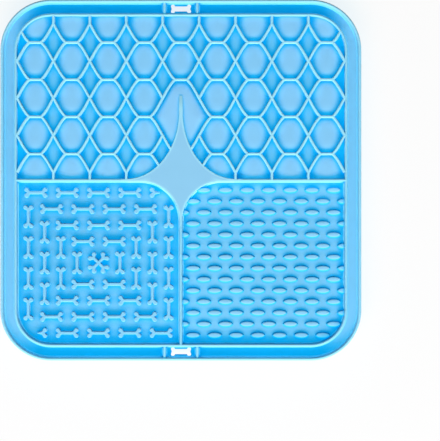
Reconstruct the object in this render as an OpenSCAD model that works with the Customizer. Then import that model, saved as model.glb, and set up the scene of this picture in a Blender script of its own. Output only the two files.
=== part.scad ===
// Square silicone lick mat. A rim, a gutter and an inner wall frame three fields round a
// hollow-sided star: domed hexagons, rings of small bones and rows of ovals. Suction cups
// underneath hold it down. Z = 0 is the surface that the cups stand on.

/* [Mat] */
// Outside length of each side
mat_side = 200; // [190:1:220]
// Radius of the outside corners in plan
corner_radius = 28; // [25:0.5:32]
// Thickness of the flat sheet that everything stands on
sheet_thickness = 2; // [1.4:0.1:3]
// Height of the rim, walls, ribs and star above the sheet
wall_height = 5.8; // [5:0.1:8]

/* [Rim and walls] */
// Thickness of the outer rim
rim_thickness = 1.6; // [1.2:0.1:2.2]
// Clear width of the gutter inside the rim
gutter_width = 6.1; // [5.6:0.1:7.5]
// Thickness of the inner wall
inner_wall_thickness = 1.4; // [1:0.1:2]
// Thickness of the dividers between the fields
divider_thickness = 1.4; // [1:0.1:2]

/* [Hanging holes] */
// Distance between the centres of the two cross ribs at each hole
hanger_rib_spacing = 18.2; // [16:0.1:24]
// Thickness of each cross rib
hanger_rib_thickness = 1.5; // [1:0.1:2]
// Length of the bone-shaped hole
hanger_hole_length = 11.2; // [9:0.1:13]
// Height of the hole at its two ends
hanger_hole_end = 5.1; // [4.4:0.1:5.4]
// Height of the hole at its waist
hanger_hole_waist = 2.9; // [2:0.1:3.6]

/* [Star] */
// Height of the neck, where the hollow upper sides end, above the middle of its cell
star_neck_rise = 2.8; // [1.5:0.1:4]
// Radius of the hollow lower sides
star_lower_radius = 21.9; // [19:0.1:25]
// Width of the ridge at the upper point
ridge_width = 2; // [1.4:0.1:2.6]
// Length of the ridge beyond the neck
ridge_length = 8.5; // [6:0.1:10]
// Height at which the ridge ends above the sheet
ridge_end_height = 4; // [3:0.1:4.8]

/* [Hexagons] */
// Columns of hexagons across the mat
hexagon_columns = 9; // [9]
// Length of each level rib, joint to joint
level_rib_length = 8; // [6.5:0.1:9.5]
// Thickness of the hexagon ribs
rib_thickness = 1.25; // [0.9:0.05:1.6]
// Length of the upright ribs that stand on the dividers
lower_upright_length = 3.6; // [2.8:0.1:4.4]
// Length of the upright ribs that meet the inner wall
upper_upright_length = 4.2; // [3.2:0.1:5]
// Height of the hexagon domes above the sheet
hexagon_dome_height = 3.6; // [3:0.1:4.5]
// Height of the diamond domes above the sheet
diamond_dome_height = 3.2; // [2.8:0.1:4]
// Height of the large dome round the star's upper point
star_dome_height = 4; // [3.2:0.1:4.6]
// Height of every dome at the joints of its cell
dome_edge_height = 0.9; // [0.6:0.1:1.4]

/* [Bones] */
// Length of each bone
bone_length = 12.5; // [11.5:0.1:13]
// Height of a bone's ends, across its length
bone_end = 5.4; // [4.6:0.1:5.6]
// Thickness of a bone's shaft
bone_shaft = 1.5; // [1.2:0.1:2]
// Height of the bones above the sheet
bone_height = 3.5; // [2.8:0.1:4.6]
// Distance from the middle of the field to the first ring, as a share of half the field
first_ring_share = 0.264; // [0.262:0.001:0.268]
// Distance between rings, as a share of half the field
ring_pitch_share = 0.2; // [0.196:0.001:0.203]
// Distance between bones along a level side, as a share of half the field
level_pitch_share = 0.386; // [0.38:0.001:0.388]
// Distance between bones along an upright side, as a share of half the field
upright_pitch_share = 0.379; // [0.37:0.001:0.382]
// Gap that a bone near a rounded corner keeps to the wall
bone_corner_gap = 1.6; // [0.8:0.1:2]

/* [Ovals] */
// Length of each oval
oval_length = 8.2; // [7:0.1:9]
// Width of each oval
oval_width = 3.4; // [2.8:0.1:4]
// Height of the ovals above the sheet
oval_height = 2.1; // [1.6:0.1:3]
// Ovals that fit side by side in one row
ovals_across = 7.5; // [7.5]
// Rows of ovals
oval_rows = 14; // [13:1:14]
// Distance from the first and last rows to the walls
oval_row_margin = 4.8; // [4:0.1:5.5]

/* [Suction cups] */
// Cups along each side of the square pattern
cups_per_side = 5; // [3:1:5]
// Distance between neighbouring cups
cup_pitch = 37; // [34:0.5:40]
// Outside diameter of each cup's lip
cup_diameter = 16; // [13:0.5:18]
// Height of the cups, from the surface to the sheet
cup_height = 4.2; // [3.8:0.1:5]
// Diameter of the solid stem over each cup
stem_diameter = 6.4; // [5:0.1:7.4]
// Height of the stem
stem_height = 1.4; // [1.2:0.1:1.6]
// Thickness of the thin cup wall
cup_wall = 0.9; // [0.6:0.1:1.1]
// Width of the flat lip
lip_width = 2.2; // [1.8:0.1:2.6]
// Thickness of the lip
lip_thickness = 0.6; // [0.4:0.1:0.8]

/* [Hidden] */
$fn = 96;
// Flat steps in each quarter turn of an outline that is drawn point by point
arc_steps = 12;
// How far a cut runs past what it cuts
overrun = 1;

sheet_top = cup_height + sheet_thickness;
deep_blue = "#0d9fe8";
mid_blue = "#6fc1f3";
light_blue = "#8ad2f8";
pale_blue = "#a9e2fd";

// Plan places of the rim, gutter and inner wall
half_side = mat_side / 2;
rim_inside = half_side - rim_thickness;
wall_outside = rim_inside - gutter_width;
wall_inside = wall_outside - inner_wall_thickness;
wall_inside_radius = corner_radius - half_side + wall_inside;
gutter_middle = (rim_inside + wall_outside) / 2;
divider_face = divider_thickness / 2;

// Lattice of the hexagons, row by row from the divider up
cell_half_width = wall_inside / hexagon_columns;
level_half = level_rib_length / 2;
first_row = divider_face + lower_upright_length;
last_row = wall_inside - upper_upright_length;
hexagon_rows = 5;
row_pitch = (last_row - first_row) / (hexagon_rows - 1);
row_heights = [for (i = [0 : hexagon_rows - 1]) first_row + i * row_pitch];
cell_half_height = row_pitch / 2;
slant_width = cell_half_width - level_half;
slant = atan2(cell_half_height, slant_width);
slant_length = norm([slant_width, cell_half_height]);
half_rib = rib_thickness / 2;

// The star: its side points end at the feet of upright ribs, its neck in a cell of its own
star_cell_row = 1;
star_cell_middle = row_heights[star_cell_row] + cell_half_height;
star_side_cells = 3;
star_side_reach = star_side_cells * cell_half_width;
star_top_reach = star_cell_middle + star_neck_rise;

// Lobe radius and head length of a bone, as shares of the height of its ends
bone_lobe_share = 0.21;
bone_head_share = 0.72;

// Outlines

function arc(centre, radii, from, to) = [
    for (i = [0 : arc_steps])
        let (a = from + (to - from) * i / arc_steps)
        [centre.x + radii.x * cos(a), centre.y + radii.y * sin(a)]
];

function mirrored(points) = [
    for (i = [len(points) - 1 : -1 : 0]) [-points[i].x, points[i].y]
];

// The right half of the star, from its upper point round to its lower one
function star_side() = concat(
    arc(
        [star_side_reach, star_top_reach],
        [star_side_reach - ridge_width / 2, star_top_reach - divider_face],
        180, 270
    ),
    [[star_side_reach, -divider_face]],
    arc(
        [divider_face + star_lower_radius, -divider_face - star_lower_radius],
        [star_lower_radius, star_lower_radius],
        90, 180
    )
);

module star_plan() {
    polygon(concat(star_side(), mirrored(star_side())));
}

module ridge_plan() {
    translate([-ridge_width / 2, star_top_reach - overrun])
        square([ridge_width, ridge_length + overrun]);
}

// One lower field, with its rounded corners at the star and at the outside of the mat
function lower_field(inset) = let (
    near = divider_face + inset,
    far = wall_inside - inset,
    star_r = star_lower_radius - inset,
    outer_r = wall_inside_radius - inset
) concat(
    arc([near + star_r, -near - star_r], [star_r, star_r], 180, 90),
    [[far, -near]],
    arc([far - outer_r, -far + outer_r], [outer_r, outer_r], 0, -90),
    [[near, -far]]
);

module upper_field_plan() {
    r = wall_inside_radius;
    c = wall_inside - r;
    right = concat([[0, divider_face], [wall_inside, divider_face]], arc([c, c], [r, r], 0, 90));
    polygon(concat(right, mirrored(right)));
}

// A bone lying along X: a straight shaft that flares at each end to two round lobes
module bone_plan(length, end, shaft) {
    lobe = end * bone_lobe_share;
    lobe_x = length / 2 - lobe;
    lobe_y = end / 2 - lobe;
    neck = length / 2 - end * bone_head_share;
    flare = [
        [neck, -shaft / 2], [lobe_x, -lobe_y - lobe / 2],
        [lobe_x, lobe_y + lobe / 2], [neck, shaft / 2]
    ];
    polygon(concat(flare, mirrored(flare)));
    for (x = [-1, 1], y = [-1, 1])
        translate([x * lobe_x, y * lobe_y]) circle(lobe);
}

// Walls

// A rounded-top profile, standing on Y = 0
module wall_profile(thickness) {
    translate([-thickness / 2, 0]) square([thickness, wall_height - thickness / 2]);
    translate([0, wall_height - thickness / 2]) circle(thickness / 2);
}

// That profile carried round a square with rounded corners
module wall_loop(reach, radius, thickness) {
    straight = reach - radius;
    translate([0, 0, sheet_top])
        for (turn = [0 : 90 : 270])
            rotate([0, 0, turn]) {
                translate([reach, straight, 0])
                    rotate([90, 0, 0])
                        linear_extrude(2 * straight) wall_profile(thickness);
                translate([straight, straight, 0])
                    rotate_extrude(angle = 90)
                        translate([radius, 0]) wall_profile(thickness);
            }
}

module base_sheet() {
    straight = half_side - corner_radius;
    color(deep_blue)
        difference() {
            translate([0, 0, cup_height])
                linear_extrude(sheet_thickness) {
                    square([2 * half_side, 2 * straight], center = true);
                    square([2 * straight, 2 * half_side], center = true);
                    for (x = [-1, 1], y = [-1, 1])
                        translate([x * straight, y * straight]) circle(corner_radius);
                }
            for (y = [-1, 1])
                translate([0, y * gutter_middle, cup_height - overrun])
                    linear_extrude(sheet_thickness + 2 * overrun)
                        bone_plan(hanger_hole_length, hanger_hole_end, hanger_hole_waist);
        }
}

module outer_rim() {
    color(pale_blue)
        wall_loop(
            half_side - rim_thickness / 2,
            corner_radius - rim_thickness / 2,
            rim_thickness
        );
}

module inner_wall() {
    color(pale_blue)
        wall_loop(
            wall_inside + inner_wall_thickness / 2,
            wall_inside_radius + inner_wall_thickness / 2,
            inner_wall_thickness
        );
}

module hanger_ribs(side) {
    color(pale_blue)
        for (x = [-1, 1])
            translate([x * hanger_rib_spacing / 2, side * gutter_middle, sheet_top])
                linear_extrude(wall_height - rim_thickness / 2)
                    square([hanger_rib_thickness, gutter_width], center = true);
}

// A divider that runs out from the star to the inner wall, turned to its direction
module divider(turn, from) {
    color(pale_blue)
        rotate([0, 0, turn])
            translate([from, -divider_face, sheet_top])
                cube([wall_inside - from, divider_thickness, wall_height]);
}

module centre_star() {
    color(light_blue)
        translate([0, 0, sheet_top]) {
            linear_extrude(wall_height) star_plan();
            rotate([90, 0, 90])
                translate([0, 0, -ridge_width / 2])
                    linear_extrude(ridge_width)
                        polygon([
                            [star_top_reach - overrun, 0],
                            [star_top_reach + ridge_length, 0],
                            [star_top_reach + ridge_length, ridge_end_height],
                            [star_top_reach, wall_height],
                            [star_top_reach - overrun, wall_height]
                        ]);
        }
}

// Hexagon ribs. Every rib is mitred to its neighbours where they meet.

// The corner between two ribs that leave point p at angles a and b
function mitre(p, a, b) = let (
    reach = half_rib / sin((b - a) / 2),
    middle = (a + b) / 2
) p + reach * [cos(middle), sin(middle)];

// Points where slanted ribs cross, and the level-rib ends around each of them
function crossing(i, k) = [(2 * k - hexagon_columns) * cell_half_width, row_heights[i]];
function lower_left(q) = q + [-slant_width, -cell_half_height];
function lower_right(q) = q + [slant_width, -cell_half_height];
function upper_left(q) = q + [-slant_width, cell_half_height];
function upper_right(q) = q + [slant_width, cell_half_height];

// The ends of a rib at the level ribs that it meets
function end_lower_left(p) = [mitre(p, slant, 180), p, mitre(p, -slant, slant)];
function end_upper_right(p) = [mitre(p, 180 + slant, 360), p, mitre(p, 180 - slant, 180 + slant)];
function end_upper_left(p) = [mitre(p, -slant, slant), p, mitre(p, 180, 360 - slant)];
function end_lower_right(p) = [mitre(p, 180 - slant, 180 + slant), p, mitre(p, 0, 180 - slant)];

// The four corners round a crossing
function corner_above(q) = mitre(q, slant, 180 - slant);
function corner_below(q) = mitre(q, 180 + slant, 360 - slant);
function corner_left(q) = mitre(q, 180 - slant, 180 + slant);
function corner_right(q) = mitre(q, -slant, slant);

function rising_rib(i, k) = let (q = crossing(i, k))
    i == 0
        ? concat(
            [corner_above(q), q, mitre(q, -90, slant)],
            end_upper_right(upper_right(q))
        )
    : i == hexagon_rows - 1
        ? concat(
            end_lower_left(lower_left(q)),
            [corner_below(q), q, mitre(q, 90, 180 + slant)]
        )
    : i == star_cell_row && 2 * k == hexagon_columns - 1
        ? concat(end_lower_left(lower_left(q)), [corner_right(q), corner_above(q)])
    : i == star_cell_row + 1 && 2 * k == hexagon_columns + 1
        ? concat([corner_left(q), corner_below(q)], end_upper_right(upper_right(q)))
    : concat(end_lower_left(lower_left(q)), end_upper_right(upper_right(q)));

function upper_falling_rib(i, k) = let (q = crossing(i, k))
    i == 0
        ? concat(
            end_upper_left(upper_left(q)),
            [mitre(q, 180 - slant, 270), q, corner_above(q)]
        )
        : concat(end_upper_left(upper_left(q)), [corner_left(q), corner_above(q)]);

function lower_falling_rib(i, k) = let (q = crossing(i, k))
    i == hexagon_rows - 1
        ? concat(
            end_lower_right(lower_right(q)),
            [mitre(q, -slant, 90), q, corner_below(q)]
        )
        : concat(end_lower_right(lower_right(q)), [corner_right(q), corner_below(q)]);

function level_rib(i, j) = let (
    middle = [2 * j * cell_half_width, row_heights[i] + cell_half_height],
    right = middle + [level_half, 0],
    left = middle - [level_half, 0]
) [
    right, mitre(right, slant, 180), mitre(left, 0, 180 - slant),
    left, mitre(left, 180 + slant, 360), mitre(right, 180, 360 - slant)
];

function lower_upright(k) = let (q = crossing(0, k), foot = divider_face)
    [
        q, mitre(q, 180 - slant, 270), [q.x - half_rib, foot],
        [q.x + half_rib, foot], mitre(q, -90, slant)
    ];

function upper_upright(k) = let (q = crossing(hexagon_rows - 1, k), head = wall_inside)
    [
        q, mitre(q, -slant, 90), [q.x + half_rib, head],
        [q.x - half_rib, head], mitre(q, 90, 180 + slant)
    ];

// Raises rib outlines from the sheet, cut off at the walls and at the star
module raised_ribs() {
    color(pale_blue)
        translate([0, 0, sheet_top])
            linear_extrude(wall_height)
                difference() {
                    intersection() {
                        upper_field_plan();
                        union() children();
                    }
                    star_plan();
                }
}

module level_ribs() {
    reach = (hexagon_columns - 1) / 2;
    raised_ribs()
        for (i = [0 : hexagon_rows - 2], j = [-reach : reach])
            if (j != 0 || i > star_cell_row)
                polygon(level_rib(i, j));
}

module rising_ribs() {
    raised_ribs()
        for (i = [0 : hexagon_rows - 1], k = [0 : hexagon_columns])
            polygon(rising_rib(i, k));
}

module falling_ribs() {
    before = (hexagon_columns - 1) / 2;
    after = before + 1;
    raised_ribs() {
        for (i = [0 : hexagon_rows - 2], k = [0 : hexagon_columns])
            if (i != star_cell_row || k != after)
                polygon(upper_falling_rib(i, k));
        for (i = [1 : hexagon_rows - 1], k = [0 : hexagon_columns])
            if (i != star_cell_row + 1 || k != before)
                polygon(lower_falling_rib(i, k));
    }
}

module upright_ribs() {
    raised_ribs()
        for (k = [1 : hexagon_columns - 1]) {
            polygon(lower_upright(k));
            polygon(upper_upright(k));
        }
}

// Domed cell floors

// Half size of a cell after half a rib is taken off each side
cell_side = cell_half_width - half_rib * slant_length / cell_half_height;
cell_top = cell_half_height - half_rib;
cell_top_half = level_half - half_rib * (slant_length - slant_width) / cell_half_height;
end_cell_side = cell_half_width - half_rib;
end_cell_turn = half_rib * (slant_length - cell_half_height) / slant_width;
diamond_side = slant_width - half_rib * slant_length / cell_half_height;
diamond_top = cell_half_height - half_rib * slant_length / slant_width;

function hexagon_cell(centre) = [
    for (p = [
        [cell_side, 0], [cell_top_half, cell_top], [-cell_top_half, cell_top],
        [-cell_side, 0], [-cell_top_half, -cell_top], [cell_top_half, -cell_top]
    ]) centre + p
];

// A cell of the first or last row, which its wall cuts square; way is 1 where the wall is above
function end_cell(centre, way) = [
    for (p = [
        [cell_top_half, -cell_top], [end_cell_side, end_cell_turn],
        [end_cell_side, cell_half_height], [-end_cell_side, cell_half_height],
        [-end_cell_side, end_cell_turn], [-cell_top_half, -cell_top]
    ]) [centre.x + p.x, centre.y + way * p.y]
];

function diamond_cell(centre) = [
    for (p = [[diamond_side, 0], [0, diamond_top], [-diamond_side, 0], [0, -diamond_top]])
        centre + p
];

// The cell round the star's upper point is a hexagon of twice the height
function star_cell() = let (
    middle = [0, star_cell_middle],
    side = cell_side + slant_width,
    top = cell_top + cell_half_height
) [
    for (p = [
        [side, 0], [cell_top_half, top], [-cell_top_half, top],
        [-side, 0], [-cell_top_half, -top], [cell_top_half, -top]
    ]) middle + p
];

// Radius of a dome that falls from its top to the edge height over a reach
function dome_radius(reach, top) = let (fall = top - dome_edge_height)
    (reach * reach + fall * fall) / (2 * fall);

module dome(outline, centre, reach, top) {
    radius = dome_radius(reach, top);
    intersection() {
        translate([0, 0, sheet_top])
            linear_extrude(top + overrun)
                difference() {
                    intersection() {
                        upper_field_plan();
                        polygon(outline);
                    }
                    star_plan();
                    ridge_plan();
                }
        translate([centre.x, centre.y, sheet_top + top - radius]) sphere(radius);
    }
}

module hexagon_pillows(i) {
    reach = (hexagon_columns - 1) / 2;
    is_first = i == 0;
    is_last = i == hexagon_rows - 1;
    under_star = i <= star_cell_row + 1;
    shift = is_first ? (cell_half_height - lower_upright_length) / 2
        : is_last ? (upper_upright_length - cell_half_height) / 2 : 0;
    color(mid_blue)
        for (j = [-reach : reach])
            if (j != 0 || !under_star) {
                centre = [2 * j * cell_half_width, row_heights[i]];
                outline = is_first ? end_cell(centre, -1)
                    : is_last ? end_cell(centre, 1) : hexagon_cell(centre);
                dome(outline, centre + [0, shift], cell_half_width, hexagon_dome_height);
            }
}

module diamond_pillows() {
    color(mid_blue)
        for (i = [0 : hexagon_rows - 2], k = [0 : hexagon_columns]) {
            centre = crossing(i, k) + [0, cell_half_height];
            in_star_cell = i == star_cell_row && abs(2 * k - hexagon_columns) == 1;
            if (!in_star_cell)
                dome(diamond_cell(centre), centre, cell_half_height, diamond_dome_height);
        }
}

module star_pillow() {
    color(mid_blue) dome(star_cell(), [0, star_cell_middle], row_pitch, star_dome_height);
}

// Bones

field_middle = (divider_face + wall_inside) / 2;
field_half = (wall_inside - divider_face) / 2;

module bones() {
    color(light_blue)
        translate([0, 0, sheet_top])
            linear_extrude(bone_height)
                intersection() {
                    polygon(mirrored(lower_field(bone_corner_gap)));
                    translate([-field_middle, -field_middle]) children();
                }
}

module bone_ring(ring) {
    reach = field_half * (first_ring_share + (ring - 1) * ring_pitch_share);
    level_pitch = field_half * level_pitch_share;
    upright_pitch = field_half * upright_pitch_share;
    bones()
        for (side = [-1, 1]) {
            for (i = [0 : ring])
                translate([(i - ring / 2) * level_pitch, side * reach])
                    bone_plan(bone_length, bone_end, bone_shaft);
            for (i = [0 : ring - 1])
                translate([side * reach, (i - (ring - 1) / 2) * upright_pitch])
                    rotate(90) bone_plan(bone_length, bone_end, bone_shaft);
        }
}

module crossed_bones() {
    bones()
        for (turn = [-45, 45])
            rotate(turn) bone_plan(bone_length, bone_end, bone_shaft);
}

// Ovals

oval_pitch = (wall_inside - divider_face) / ovals_across;
oval_row_pitch = (wall_inside - divider_face - 2 * oval_row_margin) / (oval_rows - 1);

// A pointed oval: what two equal circles share
module oval_plan() {
    radius = (oval_length * oval_length + oval_width * oval_width) / (4 * oval_width);
    intersection() {
        translate([0, radius - oval_width / 2]) circle(radius);
        translate([0, oval_width / 2 - radius]) circle(radius);
    }
}

module oval_bumps() {
    color(light_blue)
        translate([0, 0, sheet_top])
            linear_extrude(oval_height)
                intersection() {
                    polygon(lower_field(0));
                    for (i = [0 : oval_rows - 1], k = [0 : ceil(ovals_across)])
                        translate([
                            divider_face + (k + (i % 2 == 0 ? 0 : 1 / 2)) * oval_pitch,
                            -divider_face - oval_row_margin - i * oval_row_pitch
                        ]) oval_plan();
                }
}

// Suction cups

module at_each_cup() {
    for (x = [0 : cups_per_side - 1], y = [0 : cups_per_side - 1])
        translate([
            (x - (cups_per_side - 1) / 2) * cup_pitch,
            (y - (cups_per_side - 1) / 2) * cup_pitch, 0
        ]) children();
}

stem_foot = cup_height - stem_height;
lip_inside = cup_diameter / 2 - lip_width;

module cup_stems() {
    color(deep_blue)
        at_each_cup()
            translate([0, 0, stem_foot]) cylinder(h = stem_height, d = stem_diameter);
}

// The thin bell that bends when the cup is pressed, from the stem down to the lip
module cup_skirts() {
    color(deep_blue)
        at_each_cup()
            rotate_extrude()
                polygon([
                    [0, stem_foot],
                    [stem_diameter / 2, stem_foot],
                    [lip_inside + cup_wall, lip_thickness],
                    [lip_inside, lip_thickness],
                    [0, stem_foot - cup_wall]
                ]);
}

module cup_lips() {
    color(deep_blue)
        at_each_cup()
            difference() {
                cylinder(h = lip_thickness, d = cup_diameter);
                translate([0, 0, -overrun])
                    cylinder(h = lip_thickness + 2 * overrun, r = lip_inside);
            }
}

base_sheet();
outer_rim();
inner_wall();
hanger_ribs(1);  // top_hanger_ribs
hanger_ribs(-1);  // bottom_hanger_ribs
divider(180, star_side_reach);  // left_divider
divider(0, star_side_reach);  // right_divider
divider(270, divider_face + star_lower_radius);  // lower_divider
centre_star();
level_ribs();
rising_ribs();
falling_ribs();
upright_ribs();
hexagon_pillows(0);  // hexagon_pillows_1
hexagon_pillows(1);  // hexagon_pillows_2
hexagon_pillows(2);  // hexagon_pillows_3
hexagon_pillows(3);  // hexagon_pillows_4
hexagon_pillows(4);  // hexagon_pillows_5
diamond_pillows();
star_pillow();
bone_ring(1);  // bone_ring_1
bone_ring(2);  // bone_ring_2
bone_ring(3);  // bone_ring_3
bone_ring(4);  // bone_ring_4
crossed_bones();
oval_bumps();
cup_stems();
cup_skirts();
cup_lips();
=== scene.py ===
import bmesh
import bpy
import numpy as np
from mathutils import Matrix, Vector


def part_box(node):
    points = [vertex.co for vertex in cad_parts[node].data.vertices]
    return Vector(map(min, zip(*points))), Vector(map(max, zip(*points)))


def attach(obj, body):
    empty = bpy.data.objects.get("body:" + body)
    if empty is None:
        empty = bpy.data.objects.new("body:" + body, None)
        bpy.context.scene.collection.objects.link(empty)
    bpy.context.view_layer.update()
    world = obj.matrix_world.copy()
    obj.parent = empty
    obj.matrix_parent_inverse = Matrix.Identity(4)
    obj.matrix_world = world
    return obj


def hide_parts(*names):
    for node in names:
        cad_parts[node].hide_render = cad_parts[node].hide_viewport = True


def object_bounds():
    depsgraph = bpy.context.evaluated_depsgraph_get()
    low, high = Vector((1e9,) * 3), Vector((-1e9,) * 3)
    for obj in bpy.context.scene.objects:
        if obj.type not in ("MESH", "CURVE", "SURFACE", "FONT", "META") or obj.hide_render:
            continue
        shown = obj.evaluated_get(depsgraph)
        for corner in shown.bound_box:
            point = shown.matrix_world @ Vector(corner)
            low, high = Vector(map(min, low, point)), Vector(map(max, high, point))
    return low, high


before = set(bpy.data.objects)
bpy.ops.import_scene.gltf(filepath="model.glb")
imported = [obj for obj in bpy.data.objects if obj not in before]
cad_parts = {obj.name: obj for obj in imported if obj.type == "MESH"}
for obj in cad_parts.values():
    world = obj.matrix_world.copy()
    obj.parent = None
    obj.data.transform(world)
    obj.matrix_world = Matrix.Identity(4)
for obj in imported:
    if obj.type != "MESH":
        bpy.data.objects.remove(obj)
cad_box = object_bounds()

# View. The mat lies flat on the floor and is seen from straight above through a long lens,
# a little off its middle. The long lens keeps the walls on both sides almost upright.
mm = 0.001
view_centre = (21.7 * mm, -22.4 * mm)
view_height = 1.4
view_width = 244.3 * mm
film_width = 36.0

camera_data = bpy.data.cameras.new("camera")
camera_data.sensor_width = film_width
camera_data.lens = film_width * (view_height - cad_box[1][2]) / view_width
camera_data.clip_start = 0.05
camera_data.clip_end = 20
camera = bpy.data.objects.new("camera", camera_data)
camera.location = (*view_centre, view_height)
bpy.context.scene.collection.objects.link(camera)
bpy.context.scene.camera = camera
bpy.context.scene.view_settings.view_transform = "Standard"

# Light. One long soft strip stands beyond the ovals' edge, halfway up, and an even pale room
# fills the shadows. Together they light a level surface at a plain level of about one.
key_height = np.radians(42.5)
key_distance = 3.0
key_width = 5.0
key_depth = 1.3
key_power = 172
fill_level = 0.06

key_data = bpy.data.lights.new("key", "AREA")
key_data.shape = "RECTANGLE"
key_data.size = key_width
key_data.size_y = key_depth
key_data.energy = key_power
key = bpy.data.objects.new("key", key_data)
key.location = (0, -key_distance * np.cos(key_height), key_distance * np.sin(key_height))
key.rotation_euler = (np.pi / 2 - key_height, 0, 0)
key.visible_camera = False
bpy.context.scene.collection.objects.link(key)


def surface_mix(tree, share, plain, other, output):
    """Sends a mix of two shaders to a tree's output: the other as far as the share says."""
    mix = tree.nodes.new("ShaderNodeMixShader")
    for start, end in ((share, "Fac"), (plain, 1), (other, 2)):
        tree.links.new(start, mix.inputs[end])
    tree.links.new(mix.outputs["Shader"], tree.nodes[output].inputs["Surface"])


world = bpy.data.worlds.new("pale_room")
world.use_nodes = True
bpy.context.scene.world = world
room = world.node_tree
room_fill = room.nodes["Background"]
room_fill.inputs["Strength"].default_value = fill_level
room_fill.inputs["Color"].default_value = (1, 1, 1, 1)
room_seen = room.nodes.new("ShaderNodeBackground")
room_seen.inputs["Strength"].default_value = 1
room_path = room.nodes.new("ShaderNodeLightPath")
surface_mix(
    room, room_path.outputs["Is Camera Ray"], room_fill.outputs["Background"],
    room_seen.outputs["Background"], "World Output",
)

# Floor. A plain white table top, which shows almost white to the camera and in reflections,
# and keeps a faint shadow of the mat.
floor_half = 1.5
floor_seen_share = 0.8

floor_mesh = bpy.data.meshes.new("floor")
floor_corners = [
    (x * floor_half, y * floor_half, 0) for x, y in ((-1, -1), (1, -1), (1, 1), (-1, 1))
]
floor_mesh.from_pydata(floor_corners, [], [(0, 1, 2, 3)])
floor = bpy.data.objects.new("floor", floor_mesh)
bpy.context.scene.collection.objects.link(floor)
floor_finish = bpy.data.materials.new("white_table")
floor_finish.use_nodes = True
table = floor_finish.node_tree
table_paint = table.nodes["Principled BSDF"]
table_paint.inputs["Base Color"].default_value = (0.92, 0.92, 0.92, 1)
table_paint.inputs["Roughness"].default_value = 0.8
table_paint.inputs["Specular IOR Level"].default_value = 0.1
table_glow = table.nodes.new("ShaderNodeEmission")
table_glow.inputs["Strength"].default_value = 1
table_path = table.nodes.new("ShaderNodeLightPath")
table_seen, table_seen_too, table_share = (table.nodes.new("ShaderNodeMath") for _ in range(3))
table_seen.operation = table_seen_too.operation = "MAXIMUM"
table_share.operation = "MULTIPLY"
table_share.inputs[1].default_value = floor_seen_share
table.links.new(table_path.outputs["Is Camera Ray"], table_seen.inputs[0])
table.links.new(table_path.outputs["Is Glossy Ray"], table_seen.inputs[1])
table.links.new(table_seen.outputs[0], table_seen_too.inputs[0])
table.links.new(table_path.outputs["Is Transmission Ray"], table_seen_too.inputs[1])
table.links.new(table_seen_too.outputs[0], table_share.inputs[0])
surface_mix(
    table, table_share.outputs[0], table_paint.outputs["BSDF"],
    table_glow.outputs["Emission"], "Material Output",
)
floor.data.materials.append(floor_finish)

# Base sheet. One flat sheet of soft blue silicone carries every wall, rib and bump. It comes
# out of the mould with them, has a softly rounded edge, and two bone-shaped hanging holes.
sheet_low, sheet_high = (np.array(corner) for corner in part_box("base_sheet"))
sheet_half = sheet_high[0]
sheet_base = sheet_low[2]
sheet_top = sheet_high[2]
sheet_corner = 28 * mm
sheet_edge_round = 0.6 * mm
sheet_round_steps = 5
corner_steps = 20
hole_length = 11.2 * mm
hole_end = 5.1 * mm
hole_waist = 2.9 * mm
hole_notch = 0.45 * mm
hole_edge_round = 0.35 * mm
rim_half = 0.8 * mm
gutter_width = 6.1 * mm
wall_half = 0.7 * mm
rim_inside = sheet_half - 2 * rim_half
wall_outside = rim_inside - gutter_width
gutter_middle = (rim_inside + wall_outside) / 2
corner_inset = sheet_half - sheet_corner
gutter_blend = 1.2 * mm
side_tint_from = sheet_half - 0.8 * sheet_corner
side_tint_to = sheet_half - 0.15 * sheet_corner
sink = 0.2 * mm
merge_distance = 0.004 * mm
sharp_angle = np.radians(38)
lobe_share = 0.21
lobe_meet = np.radians(158)


def quarter(radius, steps):
    """How far a rounded edge has come in, and how far it has dropped, from its side to its
    top: the radius times one less cosine, and the radius times one less sine, of each angle."""
    turn = np.linspace(0, np.pi / 2, steps)
    return radius * (1 - np.cos(turn)), radius * (1 - np.sin(turn))


def rounded_square(half, radius, steps):
    """Corner centres and unit directions round a square with rounded corners. A point of the
    outline is its corner's centre plus the radius times the direction, and the straight
    sides lie between the last direction of one corner and the first of the next."""
    turn = np.concatenate([np.linspace(0, np.pi / 2, steps) + k * np.pi / 2 for k in range(4)])
    side = np.repeat([[1, 1], [-1, 1], [-1, -1], [1, -1]], steps, axis=0)
    return side * (half - radius), np.stack([np.cos(turn), np.sin(turn)], axis=1)


def bone_outline(length, end, shaft, notch):
    """A bone's outline, counter-clockwise. From its waist the half height grows with the
    square of the distance past the straight part of the shaft, until it meets a lobe's
    circle at its tangent. The circle goes round to the tangent that runs into the notch."""
    lobe = lobe_share * end
    lobe_x, lobe_y = length / 2 - lobe, end / 2 - lobe
    meet_x, meet_y = lobe_x + lobe * np.cos(lobe_meet), lobe_y + lobe * np.sin(lobe_meet)
    slope = np.tan(lobe_meet - np.pi / 2)
    start_x = max(meet_x - 2 * (meet_y - shaft / 2) / slope, 0.1 * length)
    flare_x = np.linspace(meet_x, start_x, 5)[1:]
    flare_y = shaft / 2 + (meet_y - shaft / 2) * ((flare_x - start_x) / (meet_x - start_x)) ** 2
    notch_x = length / 2 - notch
    far = np.hypot(lobe_x - notch_x, lobe_y)
    leave = np.arctan2(lobe_y, lobe_x - notch_x) - np.arcsin(lobe / far) - np.pi / 2
    turn = np.linspace(leave, lobe_meet, 10)
    upper = np.concatenate([
        [[notch_x, 0]],
        np.stack([lobe_x + lobe * np.cos(turn), lobe_y + lobe * np.sin(turn)], axis=1),
        np.stack([flare_x, flare_y], axis=1),
        [[0, shaft / 2]],
    ])
    left = upper[-2::-1] * [-1, 1]
    top = np.concatenate([upper, left])
    bottom = top[-2:0:-1] * [1, -1]
    return np.concatenate([top, bottom])


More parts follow.
